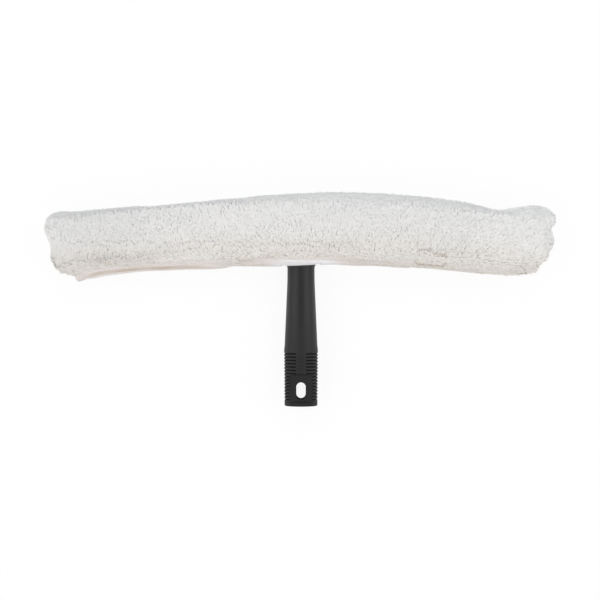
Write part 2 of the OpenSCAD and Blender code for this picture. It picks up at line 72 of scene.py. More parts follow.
def bowTurned(along, vectors):  # directions in the bow's frame to the row's
    turn = along / bow["radius"]
    c, s = np.cos(turn), np.sin(turn)
    return np.stack([vectors[:, 0] * c + vectors[:, 1] * s,
                     vectors[:, 1] * c - vectors[:, 0] * s, vectors[:, 2]], 1)


def ramp(x, low, high):
    t = np.clip((x - low) / (high - low), 0, 1)
    return t * t * (3 - 2 * t)


def softCurve(points, width=13):  # a curve through given points, without corners
    xs, ys = np.array(points, float).T
    fine = np.arange(xs[0] - 40, xs[-1] + 41, 1.0)
    values = np.pad(np.interp(fine, xs, ys), width // 2, mode="edge")
    kernel = np.hanning(width + 2)[1:-1]
    values = np.convolve(values, kernel / kernel.sum(), mode="valid")
    return lambda x: np.interp(x, fine, values)


def waves(points, size, seed):  # slow lumps of about that size, from -1 to 1 or so
    rng = np.random.default_rng(seed)
    total = np.zeros(len(points))
    for k in range(8):
        way = rng.normal(size=3)
        way *= 2 * math.pi / (np.linalg.norm(way) * size * rng.uniform(0.7, 1.6))
        total += np.sin(points @ way + rng.uniform(0, 6.28))
    return total / 3.2


def unit(v):
    return v / np.maximum(np.linalg.norm(v, axis=1, keepdims=True), 1e-9)


def newPiece(name, vertices, faces, smooth=True):
    mesh = bpy.data.meshes.new(name)
    mesh.from_pydata(np.asarray(vertices).tolist(), [], faces)
    mesh.polygons.foreach_set("use_smooth", [smooth] * len(mesh.polygons))
    mesh.update()
    piece = bpy.data.objects.new(name, mesh)
    scene.collection.objects.link(piece)
    return piece


def bake(piece):  # applies the piece's modifiers
    bpy.context.view_layer.update()
    result = piece.evaluated_get(bpy.context.evaluated_depsgraph_get())
    mesh = bpy.data.meshes.new_from_object(result)
    piece.modifiers.clear()
    piece.data = mesh


def gathered(nodes):  # the CAD nodes' points and faces, as one shape's
    vertices, faces = [], []
    for node in nodes:
        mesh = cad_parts[node].data
        faces += [tuple(i + len(vertices) for i in face.vertices) for face in mesh.polygons]
        vertices += readPoints(mesh).tolist()
    return vertices, faces


def softCopy(nodes, name, voxel, evened=0):  # an even skin over the CAD nodes' shapes
    piece = newPiece(name, *gathered(nodes))
    skin = piece.modifiers.new("skin", "REMESH")
    skin.mode = "VOXEL"
    skin.voxel_size = voxel / 1000
    skin.use_smooth_shade = True
    if evened:
        even = piece.modifiers.new("even", "SMOOTH")
        even.factor = 0.6
        even.iterations = evened
    bake(piece)
    return piece


def readPoints(mesh):
    flat = np.empty(len(mesh.vertices) * 3)
    mesh.vertices.foreach_get("co", flat)
    return flat.reshape(-1, 3)


def writePoints(mesh, points):
    mesh.vertices.foreach_set("co", points.astype(np.float32).ravel())
    mesh.update()


def addNode(tree, kind, settings=(), links=()):
    node = tree.nodes.new("ShaderNode" + kind)
    for key, value in dict(settings).items():
        if isinstance(key, str) and hasattr(node, key):
            setattr(node, key, value)
        else:
            node.inputs[key].default_value = value
    for key, source in dict(links).items():
        tree.links.new(source, node.inputs[key])
    return node


def newMaterial(name):
    material = bpy.data.materials.new(name)
    material.use_nodes = True
    material.node_tree.nodes.clear()
    return material, material.node_tree


scene = bpy.context.scene
scene.view_settings.view_transform = "Standard"

view = {
    "width": 0.54,  # metres across the photograph at the height below
    "plane": 0.016,
    "distance": 1.30,
    "centre": (0.0, -0.0004),
}

cameraData = bpy.data.cameras.new("viewCamera")
cameraData.sensor_width = 36
cameraData.lens = 36 * view["distance"] / view["width"]
camera = bpy.data.objects.new("viewCamera", cameraData)
camera.location = (view["centre"][0], view["centre"][1], view["plane"] + view["distance"])
scene.collection.objects.link(camera)
scene.camera = camera

light = {
    "sky": ("#F5F7FB", 0.42),
    "sides": ("#FFFFFF", 1.14),  # the panels that draw the two bands on the grip
    "far": ("#F2F5FF", 1.2),
    "near": ("#FFF6EC", 1.12),
    "sideSize": (1.3, 0.78),
    "endSize": (1.3, 0.8),
}


def addPanel(name, place, size, colour, radiance):
    data = bpy.data.lights.new(name, "AREA")
    data.shape = "RECTANGLE"
    data.size, data.size_y = size
    data.color = linear(colour)[:3]
    data.energy = radiance * math.pi * size[0] * size[1]
    lamp = bpy.data.objects.new(name, data)
    lamp.location = place
    aim = Vector((0, 0, 0.02)) - Vector(place)
    lamp.rotation_euler = aim.to_track_quat("-Z", "X" if abs(place[0]) > 0.1 else "Y").to_euler()
    scene.collection.objects.link(lamp)


addPanel("panelLeft", (-0.69, 0, 0.58), light["sideSize"][::-1], *light["sides"])
addPanel("panelRight", (0.69, 0, 0.58), light["sideSize"][::-1], *light["sides"])
addPanel("panelFar", (0, 1.0, 0.9), light["endSize"], *light["far"])
addPanel("panelNear", (0, -1.0, 0.9), light["endSize"], *light["near"])

world = bpy.data.worlds.new("studio")
scene.world = world
world.use_nodes = True
tree = world.node_tree
tree.nodes.clear()
rays = addNode(tree, "LightPath")
sky = addNode(tree, "Background", {"Color": linear(light["sky"][0]), "Strength": light["sky"][1]})
paper = addNode(tree, "Background", {"Color": (1, 1, 1, 1), "Strength": 1.0})
both = addNode(tree, "MixShader",
               links={0: rays.outputs["Is Camera Ray"], 1: sky.outputs[0], 2: paper.outputs[0]})
addNode(tree, "OutputWorld", links={"Surface": both.outputs[0]})

# A sheet of white paper, which the camera and reflections see as plain white with a
# faint shadow.
floorData = {"half": 3.0, "level": -0.0002, "shadow": 0.09}
half = floorData["half"]
floor = newPiece("floor", [(x * half, y * half, floorData["level"]) for x, y in
                           ((-1, -1), (1, -1), (1, 1), (-1, 1))], [(0, 1, 2, 3)])
paperMaterial, tree = newMaterial("whitePaperMatt")
rays = addNode(tree, "LightPath")
seen = addNode(tree, "Math", {"operation": "MAXIMUM"},
               {0: rays.outputs["Is Camera Ray"], 1: rays.outputs["Is Glossy Ray"]})
seen = addNode(tree, "Math", {"operation": "MAXIMUM"},
               {0: seen.outputs[0], 1: rays.outputs["Is Transmission Ray"]})
share = addNode(tree, "Math", {"operation": "MULTIPLY", 1: 1 - floorData["shadow"]}, {0: seen.outputs[0]})
matt = addNode(tree, "BsdfDiffuse", {"Color": (1, 1, 1, 1)})
glow = addNode(tree, "Emission", {"Color": (1, 1, 1, 1), "Strength": 1.0})
shader = addNode(tree, "MixShader", links={0: share.outputs[0], 1: matt.outputs[0], 2: glow.outputs[0]})
addNode(tree, "OutputMaterial", links={"Surface": shader.outputs[0]})
floor.data.materials.append(paperMaterial)
print("camera, light and floor are in place")

# The real sleeve's outline, as (along, across). The pile is thinner towards the left
# end and swells at the right end.
outline = {
    "top": [(-222, 31.5), (-210, 30.2), (-196, 29.2), (-178, 29.1), (-142, 28.4), (-134, 26.9),
            (-107, 27.3), (-72, 28.7), (-54, 29.2), (-36, 31.0), (-1, 32.4), (34, 33.7), (105, 33.4),
            (140, 31.7), (158, 29.3), (167, 27.4), (176, 28.4), (193, 33.4), (202, 35.4), (215, 35.6),
            (222, 35.0)],
    "low": [(-226, -29), (-220, -28.2), (-212, -28.2), (-206, -29.8), (-199, -31.0), (-192, -31.3),
            (-177, -29.9), (-163, -29.7), (-149, -29.9), (-128, -30.8), (-103, -31.9), (-83, -32.5),
            (-73, -32.6), (-63, -31.0), (-53, -31.4), (-44, -31.6), (-29, -32.1), (-14, -32.5), (0, -32.4),
            (12, -31.9), (20, -30.8), (30, -30.5), (41, -30.8), (63, -31.0), (104, -31.2), (128, -31.6),
            (165, -31.5), (201, -29.2), (222, -29.5)],
    "leftEnd": [(-34, 3.0), (-20, 4.0), (-14, 3.2), (-8, 3.4), (-2, 4.2), (2, 4.0), (8, 2.8), (14, 1.2),
                (19, 2.0), (25, 4.2), (30, 9.5), (34, 12.5)],
    "rightEnd": [(-34, -6), (-26, -8.0), (-18, -7.0), (-13, -4.4), (-8, -4.2), (-2, -2.6), (3, -1.6),
                 (8, -3.0), (14, -5.2), (19, -4.4), (25, -3.2), (30, -9.5), (34, -12.5)],
    "topIn": 1.6,  # the pile's tips stand this far out of the skin
    "lowIn": 0.6,
}
topEdge = softCurve(outline["top"])
lowEdge = softCurve(outline["low"])
leftEnd = softCurve(outline["leftEnd"], 7)
rightEnd = softCurve(outline["rightEnd"], 7)


def shaped(b):  # moves points of the CAD sleeve to the real sleeve's uneven form
    along, across, up = b.T
    span = bow["edge"] - bow["soft"]
    outer = np.clip((np.abs(across) - bow["soft"]) / span, 0, 1.15)
    across2 = across + outer * np.where(across > 0, topEdge(along) - outline["topIn"] - bow["edge"],
                                        lowEdge(along) + outline["lowIn"] + bow["edge"])
    atEnd = ramp(np.abs(along), 194, 228)
    along2 = along + atEnd * np.where(along < 0, leftEnd(across), rightEnd(across))
    crown = ramp(up, 12, 22)
    lumps = waves(b * np.array([1, 1.3, 0]), 46, 5) * 0.5 + waves(b * np.array([1, 0.8, 0]), 17, 6) * 0.25
    up2 = up + crown * (0.9 - 1.6 * (across / 24) ** 2 + lumps)
    return np.stack([along2, across2, np.maximum(up2, 0.2 - bow["shift"][2])], 1)


# Where a ray from a face escapes, the face is on the sleeve's outside.
small = ("end_seam_left", "end_seam_right", "corner_tip", "band_stitching", "slot_bar_tacks")
solids = BVHTree.FromPolygons(*gathered([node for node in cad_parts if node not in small]))


def facesOutside(centres, normals, reach=0.014):
    free = np.zeros(len(centres), bool)
    for i, (c, n) in enumerate(zip(centres, normals)):
        way = Vector(n)
        free[i] = solids.ray_cast(Vector(c) + way * 0.0012, way, reach)[0] is None
    return free


band = {
    "crease": [(-206, -31.4), (-198, -30.8), (-184, -29.7), (-170, -29.8), (-149, -30.6), (-128, -30.7),
               (-103, -31.0), (-83, -31.3), (-73, -31.9), (-63, -32.2), (-50, -32.2), (-44, -31.8),
               (-34, -31.2), (-27, -30.6), (-20, -29.2), (-13, -28.7), (0, -29.4), (13, -30.0), (24, -30.8),
               (40, -31.6), (50, -32.25), (104, -32.3)],
    "from": -205.5, "to": 103.7, "stepAlong": 1.2, "rows": 22,
    "centre": (-19.0, 9.0), "round": 13.0,  # the rounded lower front edge
    "cadTurn": math.radians(47.4),  # where the CAD's crease lies on that rounded edge
    "under": 0.95,  # the pile hides the band's upper part down from this angle
    "soleEnd": -9.2, "slotUp": 12.7, "slotHalf": 17.0,
    "thick": 2.8,
    # the crease colour is painted shadow under the pile's edge, and the bright bluish colour is a painted
    # highlight
    "light": "#E6DFDA", "creaseShadow": "#CDBEB0", "glossAndPaintedHighlight": "#FAFAFD",
}
creaseAt = softCurve(band["crease"], 9)


def creaseTurn(along):  # the angle on the rounded edge where pile gives way to band
    reach = (band["centre"][0] - creaseAt(along)) / (band["round"] + 0.35)
    return np.arccos(np.clip(reach, -1, 1))


def edgeTurn(b):  # a point's angle on that rounded edge
    return np.arctan2(b[:, 2] - band["centre"][1], band["centre"][0] - b[:, 1])


pile = {
    "depth": 1.05,  # how far the knitted backing lies under the pile's tips
    "length": 5.0,
    "width": 1.6,
    "spacing": 1.3,
    "seed": 11,
    "lean": (72, 86),  # degrees off the surface's normal at the root and at the tip
    "evenness": 0.95,  # how much the tufts shade as one surface
    # The cooler and warmer tints are painted light for the upper and lower sides; the brown paints crease
    # shade and tints patches.
    "coolLitSide": "#FBFBF8", "warmLitSide": "#FAF4EB", "dim": "#F5F3F0", "root": "#FBF9F5", "brownShadeAndTint": "#A98F6E",
}

# Lines where the pile is drawn in and painted brown as painted crease shade, and patches
# tinted brown, as (along, across) points with a width in millimetres and a strength.
marks = {
    "lines": [
        ([(106, -14.6), (112, -14.4), (116, -13.0), (119, -16.2), (125, -17.6), (131, -17.4), (132.5, -20.6)],
         0.9, 0.6),
        ([(101, -29.4), (108, -31.2), (128, -31.6)], 1.1, 0.5),
        ([(131.0, -28.2), (128.5, -31.2)], 1.0, 0.5),
        ([(103.4, 4.0), (104.4, -12.0), (105.2, -29.0)], 0.9, 0.14),
        ([(40, -30.2), (101, -30.4)], 0.9, 0.2),
        ([(-56, -30.6), (-44, -30.4), (-30, -28.4), (-20, -25.6), (-12, -24.8)], 1.2, 0.28),
    ],
    "patches": [
        ((-187, -15), (11, 5), 0.09),
        ((-179, -20), (6, 4), 0.12),
        ((-155, -21), (22, 4), 0.12),
        ((-202, -22), (4, 4), 0.07),
        ((205, -22), (14, 7), 0.12),
        ((0, -23), (60, 4), 0.07),
    ],
    "raised": [((98, -1), (4.5, 6), 1.2), ((99, -9), (4, 4), 1.0), ((84, -5), (9, 6), 0.5),
               ((-60, -22), (4, 3), 0.8)],
}


def lineShare(b, points, width):
    points = np.array(points, float)
    best = np.full(len(b), 1e9)
    for start, end in zip(points[:-1], points[1:]):
        run = end - start
        t = np.clip(((b[:, :2] - start) @ run) / (run @ run), 0, 1)
        best = np.minimum(best, np.linalg.norm(b[:, :2] - start - t[:, None] * run, axis=1))
    return np.exp(-(best / width) ** 2) * (b[:, 2] > 2)


def shadedAndTinted(b, rng):
    drawn = np.zeros(len(b))
    # painted shade: the crease lines are mixed towards brown
    for points, width, strength in marks["lines"]:
        drawn = np.maximum(drawn, strength * lineShare(b, points, width))
    tone = drawn.copy()
    # the patches tint the pile brown
    for centre, size, strength in marks["patches"]:
        away = ((b[:, 0] - centre[0]) / size[0]) ** 2 + ((b[:, 1] - centre[1]) / size[1]) ** 2
        tone += strength * np.exp(-away) * (b[:, 2] > 2) * rng.uniform(0.2, 1.8, len(b))
    return drawn, np.clip(tone, 0, 1)


def bulged(b):
    out = np.zeros(len(b))
    for centre, size, height in marks["raised"]:
        away = ((b[:, 0] - centre[0]) / size[0]) ** 2 + ((b[:, 1] - centre[1]) / size[1]) ** 2
        out += height * np.exp(-away) * (b[:, 2] > 2)
    return out


def combed(b, rng):  # the way the tufts lie, as an angle in the (along, across) plane
    along, across, up = b.T
    slow = waves(b * np.array([1, 1, 0.6]), 70, 21)
    angle = np.radians(88) + 0.22 * slow
    angle -= np.radians(40) * ramp(along, 110, 190)  # the right end is brushed to the upper right
    tangle = np.clip(waves(b * np.array([1, 1.4, 1]), 24, 22), 0, 1)
    tangle *= ramp(-along, 60, 110) * ramp(along, -190, -170)
    angle += np.radians(35) * ramp(-along, 204, 224) - np.radians(10) * ramp(along, 204, 224)
    return angle + rng.normal(size=len(b)) * (0.2 + 0.4 * tangle)


def paintPoints(piece, name, colours):
    layer = piece.data.attributes.new(name, "FLOAT_COLOR", "POINT")
    layer.data.foreach_set("color", np.asarray(colours, np.float32).ravel())


def growPile(name, centres, normals, hang, rng):
    count = len(centres)
    b = toBow(centres)
    edge = ramp(-b[:, 1], 20, 26) * ramp(normals[:, 2], -0.4, 0) * ramp(b[:, 2], -8, 2)
    hang = np.maximum(hang, edge)  # along the lower edge the tufts hang over it
    sideways = np.where(rng.uniform(-1, 1, count) > b[:, 0] / 150, 1, -1)
    angle = combed(b, rng) + math.pi * hang * sideways
    flat = np.stack([np.cos(angle), np.sin(angle), np.zeros(count)], 1)
    endward = -np.sign(b[:, 0]) * ramp(np.abs(b[:, 0]), 190, 215)
    inward = np.stack([endward, -b[:, 1] / 32, np.zeros(count)], 1)
    low = ramp(-b[:, 2], -2, 7) * ramp(np.abs(normals[:, 0]), 0.2, 0.5)
    beneath = (np.maximum(ramp(-normals[:, 2], 0, 0.35), low) * (1 - hang))[:, None]  # these don't stick out
    way = bowTurned(b[:, 0], flat * (1 - beneath) + inward * beneath)
    way = unit(way - normals * np.sum(way * normals, 1)[:, None])
    side = np.cross(way, normals)
    reach = pile["length"] * 0.8
    shown = b + flat * reach  # where the tips will lie
    drawn, tone = shadedAndTinted(shown, rng)
    raised = bulged(shown)
    brushed = 1 + 0.25 * ramp(b[:, 0], 120, 180)
    long = pile["length"] * rng.uniform(0.8, 1.2, count) * (1 - 0.3 * drawn) * brushed / 1000
    long *= 1 - 0.2 * hang
    wide = pile["width"] * rng.uniform(0.8, 1.2, count) / 1000
    rootLean = np.radians(pile["lean"][0]) + rng.normal(size=count) * 0.04
    tipLean = np.radians(pile["lean"][1]) + rng.normal(size=count) * 0.05
    first = normals * np.cos(rootLean)[:, None] + way * np.sin(rootLean)[:, None]
    second = normals * np.cos(tipLean)[:, None] + way * np.sin(tipLean)[:, None]
    root = centres - normals * ((pile["depth"] + 0.3 + 0.5 * drawn - raised) / 1000)[:, None]
    middle = root + first * (long * 0.55)[:, None]
    tip = middle + second * (long * 0.5)[:, None]
    lift = np.cross(side, second)
    corners = [side, -side, lift * 0.8]
    rings = [centre + corner * (wide * size)[:, None]
             for centre, size in ((root, 0.42), (middle, 0.5)) for corner in corners]
    vertices = np.stack(rings + [tip], 1)
    vertices[:, :, 2] = np.maximum(vertices[:, :, 2], (0.0003 + 0.0004 * rng.random(count))[:, None])
    base = np.arange(count)[:, None] * 7
    quads = np.stack([base + q for q in ([0, 1, 4, 3], [1, 2, 5, 4], [2, 0, 3, 5])], 1).reshape(-1, 4)
    tris = np.stack([base + q for q in ([3, 4, 6], [4, 5, 6], [5, 3, 6])], 1).reshape(-1, 3)
    piece = newPiece(name, vertices.reshape(-1, 3), quads.tolist() + tris.tolist())
    lively = 0.3 + 0.7 * np.exp(-((b[:, 1] + 2) / 14) ** 2) * ramp(b[:, 0], -185, -130)
    blend = (1 - (1 - pile["evenness"]) * (0.3 + 0.7 * lively))[:, None]
    facing = normals + np.array([0, 0, 0.45]) * ramp(normals[:, 2:], -0.7, -0.3)
    facing[:, 2] = np.maximum(facing[:, 2], -0.3)
    facing = unit(facing)
    leaning = [facing * blend + corner * (1 - blend) for corner in corners * 2] + [facing + way * 0.06]
    piece.data.normals_split_custom_set_from_vertices(unit(np.stack(leaning, 1).reshape(-1, 3)))
    # painted light colour: the tips are tinted cooler on the upper side and warmer on the lower side
    warmLitSide = ramp(-b[:, 1] - 0.3 * b[:, 2], -14, 22)
    colour = lambda key: np.array(linear(pile[key]))
    tips = colour("coolLitSide") * (1 - warmLitSide)[:, None] + colour("warmLitSide") * warmLitSide[:, None]
    dim = (rng.random(count) ** 2 * lively * (1 - np.minimum(1, raised)))[:, None]
    tips = tips * (1 - dim) + colour("dim") * dim
    # painted crease shade: the tufts on the crease lines are mixed towards brown, and the patches get a brown
    # tint
    tips = tips * (1 - tone[:, None]) + colour("brownShadeAndTint") * tone[:, None]
    roots = colour("root") * (1 - tone[:, None]) + colour("brownShadeAndTint") * tone[:, None]
    rise = np.array([0, 0, 0, 0.75, 0.75, 0.75, 1.0])[None, :, None]
    # all tufts are scaled to 0.925 and darker towards the left end and at along 60 to 150; the lower side's
    # extra darkening is painted shade
    toneScale = 0.925 - 0.02 * ramp(b[:, 0], 60, 150) - 0.07 * ramp(-b[:, 0], 90, 180)
    toneScale -= 0.02 * ramp(-b[:, 1], 2, 20)
    paintPoints(piece, "fibreAndPaintedLight", (roots[:, None] * (1 - rise) + tips[:, None] * rise) * toneScale[:, None, None])
    mapTufts(piece, count)
    return piece


def mapTufts(piece, count):  # every tuft's three sides lie side by side in a cell of their own
    across = math.ceil(math.sqrt(count))
    cell = np.arange(count)
    corner = np.stack([cell % across, cell // across], 1)[:, None] + 0.05
    sides = [[(k, 0), (k + 1, 0), (k + 1, 0.55), (k, 0.55)] for k in range(3)]
    tips = [[(k, 0.55), (k + 1, 0.55), (k + 0.5, 1)] for k in range(3)]
    flat = [np.array([p for shape in shapes for p in shape], float) * (0.3, 0.9) for shapes in (sides, tips)]
    where = np.concatenate([(corner + part[None]).reshape(-1, 2) for part in flat]) / across
    layer = piece.data.uv_layers.new(name="OFBake")
    layer.data.foreach_set("uv", where.astype(np.float32).ravel())


def skinFaces(mesh):
    count = len(mesh.polygons)
    centres, normals = np.empty(count * 3), np.empty(count * 3)
    mesh.polygons.foreach_get("center", centres)
    mesh.polygons.foreach_get("normal", normals)
    return centres.reshape(-1, 3), normals.reshape(-1, 3)


def smoothNormals(mesh):
    flat = np.empty(len(mesh.vertices) * 3)
    mesh.vertices.foreach_get("normal", flat)
    return flat.reshape(-1, 3)


def nearness(points, *nodes):  # each point's distance from the CAD nodes' surface
    tree = BVHTree.FromPolygons(*gathered(nodes))
    return np.array([tree.find_nearest(Vector(p))[3] for p in points])


def growSleeve():  # one even pile over body and flap, parted where the flap is cut
    rng = np.random.default_rng(pile["seed"])
    skin = softCopy(["sleeve_body", "closure_flap", "flap_band"], "pile_grid", pile["spacing"], 6)
    centres, normals = skinFaces(skin.data)
    cadPlace = toBow(centres)
    free = facesOutside(centres, normals)
    toBody = nearness(centres, "sleeve_body")
    onFlap = nearness(centres, "closure_flap", "flap_band") < toBody
    rise = (edgeTurn(cadPlace) - creaseTurn(cadPlace[:, 0])) * band["round"]  # height over the crease
    lower = (cadPlace[:, 1] < band["centre"][0]) | (onFlap & (cadPlace[:, 2] < 0))
    banded = lower & (onFlap | ((cadPlace[:, 0] > band["from"]) & (cadPlace[:, 0] < -190)))
    free &= ~(banded & (rise < 0.5))
    hang = np.where(banded, np.clip(1 - (rise - 0.5) / 3.0, 0, 1), 0)
    parting = np.abs(nearness(centres, "closure_flap") - toBody) < 0.003
    under = normals[:, 2] < -0.6
    free &= ~under | (rng.random(len(free)) < 0.6)  # the pressed back needs fewer tufts
    writePoints(skin.data, fromBow(shaped(toBow(readPoints(skin.data)))))
    centres, normals = skinFaces(skin.data)
    spread = pile["spacing"] / 1000 * 0.5
    jitter = rng.uniform(-spread, spread, centres.shape)
    centres = centres + jitter - normals * np.sum(jitter * normals, 1)[:, None]
    faces = [tuple(face.vertices) for face in skin.data.polygons]
    skinTree = BVHTree.FromPolygons(readPoints(skin.data).tolist(), faces)
    bpy.data.objects.remove(skin)
    pieces = []
    for name, here, parts in (("sleeve", free & ~onFlap, 4), ("flap", free & onFlap, 2)):
        order = np.concatenate([np.flatnonzero(here), *[np.flatnonzero(here & parting)] * 2])
        extra = order[np.count_nonzero(here):]  # three times as many tufts by the parting
        centres[extra] += rng.uniform(-spread, spread, (len(extra), 3))
        order = order[np.argsort(centres[order, 0])]
        names = [name + "_pile_" + letter for letter in "abcd"]
        pieces.append([growPile(names[k], centres[part], unit(normals[part]), hang[part], rng)
                       for k, part in enumerate(np.array_split(order, parts))])
        print(name, "has", len(order), "tufts")
    return pieces, skinTree


def knitBacking(node, name, voxel):
    backing = softCopy([node], name, voxel)
    points, normals = readPoints(backing.data), smoothNormals(backing.data)
    outside = facesOutside(points, normals)
    points = fromBow(shaped(toBow(points)))
    normals = np.array([list(pileSkin.find_nearest(Vector(p))[1]) for p in points])
    writePoints(backing.data, points - normals * (pile["depth"] * outside[:, None]) / 1000)
    return backing


(bodyTufts, flapTufts), pileSkin = growSleeve()
bodyBacking = knitBacking("sleeve_body", "sleeve_backing", 2.2)
flapBacking = knitBacking("closure_flap", "flap_backing", 1.8)

# Cut polyester pile: spun fibres stand in soft off-white tufts, matt, with a slight
# sheen along their sides.
pileMaterial, tree = newMaterial("polyesterPileCut")
# the tufts' colour attribute carries painted crease shade, painted shade on the lower side and painted light
# tints
fibreAndPaintedLight = addNode(tree, "Attribute", {"attribute_name": "fibreAndPaintedLight"})
place = addNode(tree, "TexCoord")
clumps = addNode(tree, "TexNoise", {"Scale": 1000 / 9, "Detail": 3.0}, {"Vector": place.outputs["Object"]})
tone = addNode(tree, "MapRange", {"From Min": 0.35, "From Max": 0.65, "To Min": 0.96, "To Max": 1.0},
               {"Value": clumps.outputs["Fac"]})
toned = addNode(tree, "VectorMath", {"operation": "SCALE"},
                {0: fibreAndPaintedLight.outputs["Color"], "Scale": tone.outputs[0]})
shader = addNode(tree, "BsdfPrincipled", {"Roughness": 0.75, "IOR": 1.5, "Sheen Weight": 0.12},
                 {"Base Color": toned.outputs[0]})
addNode(tree, "OutputMaterial", links={"Surface": shader.outputs[0]})

# Knitted backing: the pile is tied into a plain knit, seen only between the tufts.
knitPitch = 1.6  # a real stitch is 0.8 mm, drawn twice as coarse to show
knitMaterial, tree = newMaterial("polyesterKnitBacking")
place = addNode(tree, "TexCoord")
cells = addNode(tree, "TexVoronoi", {"Scale": 1000 / knitPitch}, {"Vector": place.outputs["Object"]})
shade = addNode(tree, "ValToRGB", links={"Fac": cells.outputs["Distance"]})
shade.color_ramp.elements[0].color = linear("#FBF9F4")
shade.color_ramp.elements[1].color = linear("#EFEAE0")
relief = addNode(tree, "Bump", {"Strength": 0.5, "Distance": 0.0004, "invert": True},
                 {"Height": cells.outputs["Distance"]})
shader = addNode(tree, "BsdfPrincipled", {"Roughness": 0.9, "IOR": 1.5},
                 {"Base Color": shade.outputs[0], "Normal": relief.outputs[0]})
addNode(tree, "OutputMaterial", links={"Surface": shader.outputs[0]})

for piece in [bodyBacking, flapBacking]:
    piece.data.materials.clear()
    piece.data.materials.append(knitMaterial)
for piece in bodyTufts + flapTufts:
    piece.data.materials.append(pileMaterial)
for piece in [bodyBacking] + bodyTufts:
    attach(piece, "scrubber")
for piece in [flapBacking] + flapTufts:
    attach(piece, "flap")
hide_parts("sleeve_body")
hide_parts("closure_flap")
print("the pile is grown")


def weaveBand():
    columns = np.arange(band["from"], band["to"] + 0.01, band["stepAlong"])
    cx, cu = band["centre"]
    r = band["round"]
    vertices, colours = [], []
    light, creaseShadow, glossAndPaintedHighlight = (np.array(linear(band[key])) for key in ("light", "creaseShadow", "glossAndPaintedHighlight"))
    for x in columns:
        start = float(creaseTurn(x))
        inSlot = ramp(band["slotHalf"] + 3 - abs(x), 0, 3)
        full = start * r + cu - band["soleEnd"]
        slotUp = band["slotUp"] + 0.9 * float(ramp(x, -15, 15))
        short = max(1.0, (start - math.asin((slotUp - cu) / r)) * r)
        end = full + (short - full) * inSlot
        # painted shadow: the band is mixed towards brown just under the crease, where the pile's edge
        # overhangs it
        creaseShadowShare = ramp(-x, 70, 115) * ramp(x, -204, -182) + 0.35 * ramp(x, -60, -40) * ramp(-x, -40, 10)
        creaseShadowShare += 0.3 * ramp(x, 40, 55)
        # painted highlight: the eyelid over the grip is mixed towards bright bluish white
        eyelid = ramp(x, -38, -18) * ramp(-x, -42, -22)
        past = 0.9 * ramp(-x, 199, 201) - 0.5 * ramp(x, 50, 70) - 1.2 * ramp(x, 97, 104)
        top = max(start + 0.25, band["under"])
        for turn, inset in ((top, 2.4), ((top + start) / 2, 2.2), (start + 0.02, 1.3)):  # under the pile
            vertices.append((x, cx - (r - inset) * math.cos(turn), cu + (r - inset) * math.sin(turn)))
            colours.append(light)
        for j in range(band["rows"]):
            s = end * j / (band["rows"] - 1)
            bulge = 0.35 * math.sin(math.pi * min(1, s / max(0.5, start * r))) + past
            bulge -= 0.5 * math.exp(-s / 0.8)
            if s < start * r:
                turn = start - s / r
                v, u = cx - (r + bulge) * math.cos(turn), cu + (r + bulge) * math.sin(turn)
            else:
                v, u = cx - r - past, cu - (s - start * r)
            vertices.append((x, v, u))
            share = creaseShadowShare * (0.85 + 0.15 * math.sin(x / 5.3)) * math.exp(-max(0, s - 1.0) ** 2 / 1.2)
            colours.append((light * (1 - eyelid) + glossAndPaintedHighlight * eyelid) * (1 - share) + creaseShadow * share)
    b = np.array(vertices)
    b[:, 1] += (lowEdge(b[:, 0]) + bow["edge"]) * np.clip((-b[:, 1] - 20) / 12, 0, 1)
    b[:, 1] += 0.2 * waves(b * np.array([1, 0, 0]), 30, 41)
    rows = band["rows"] + 3
    faces = [(i * rows + j, (i + 1) * rows + j, (i + 1) * rows + j + 1, i * rows + j + 1)
             for i in range(len(columns) - 1) for j in range(rows - 1)]
    piece = newPiece("flap_band_woven", fromBow(b), faces)
    paintPoints(piece, "fibreAndPaintedLight", colours)
    thick = piece.modifiers.new("thick", "SOLIDIFY")
    thick.thickness = band["thick"] / 1000
    thick.offset = 0.14  # 1.2 mm of it outwards, the rest in to the flap
    bake(piece)
    return piece


bandPiece = weaveBand()
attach(bandPiece, "flap")
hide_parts("flap_band")
print("the band is woven")

# Woven polyester band: a flat satin weave, smooth and slightly glossy beside the pile.
threadPitch = 1.2  # a real thread is 0.3 mm, drawn four times as coarse to show
wovenMaterial, tree = newMaterial("polyesterBandWoven")
place = addNode(tree, "TexCoord")

threads = {"Scale": 1000 / threadPitch / 6.28, "Distortion": 0.6}
warp = addNode(tree, "TexWave", {**threads, "bands_direction": "X"}, {"Vector": place.outputs["Object"]})
weft = addNode(tree, "TexWave", {**threads, "bands_direction": "Z"}, {"Vector": place.outputs["Object"]})
cloth = addNode(tree, "Math", {"operation": "MULTIPLY"}, {0: warp.outputs["Fac"], 1: weft.outputs["Fac"]})
# the band's colour attribute carries its painted crease shadow and painted highlight
fibreAndPaintedLight = addNode(tree, "Attribute", {"attribute_name": "fibreAndPaintedLight"})
depth = addNode(tree, "MapRange", {"To Min": 0.93, "To Max": 1.0}, {"Value": cloth.outputs[0]})
shade = addNode(tree, "VectorMath", {"operation": "SCALE"},
                {0: fibreAndPaintedLight.outputs["Color"], "Scale": depth.outputs[0]})
relief = addNode(tree, "Bump", {"Strength": 0.35, "Distance": 0.0002}, {"Height": cloth.outputs[0]})
shader = addNode(tree, "BsdfPrincipled", {"Roughness": 0.38, "IOR": 1.5, "Sheen Weight": 0.1},
                 {"Base Color": shade.outputs[0], "Normal": relief.outputs[0]})
addNode(tree, "OutputMaterial", links={"Surface": shader.outputs[0]})
bandPiece.data.materials.clear()
bandPiece.data.materials.append(wovenMaterial)

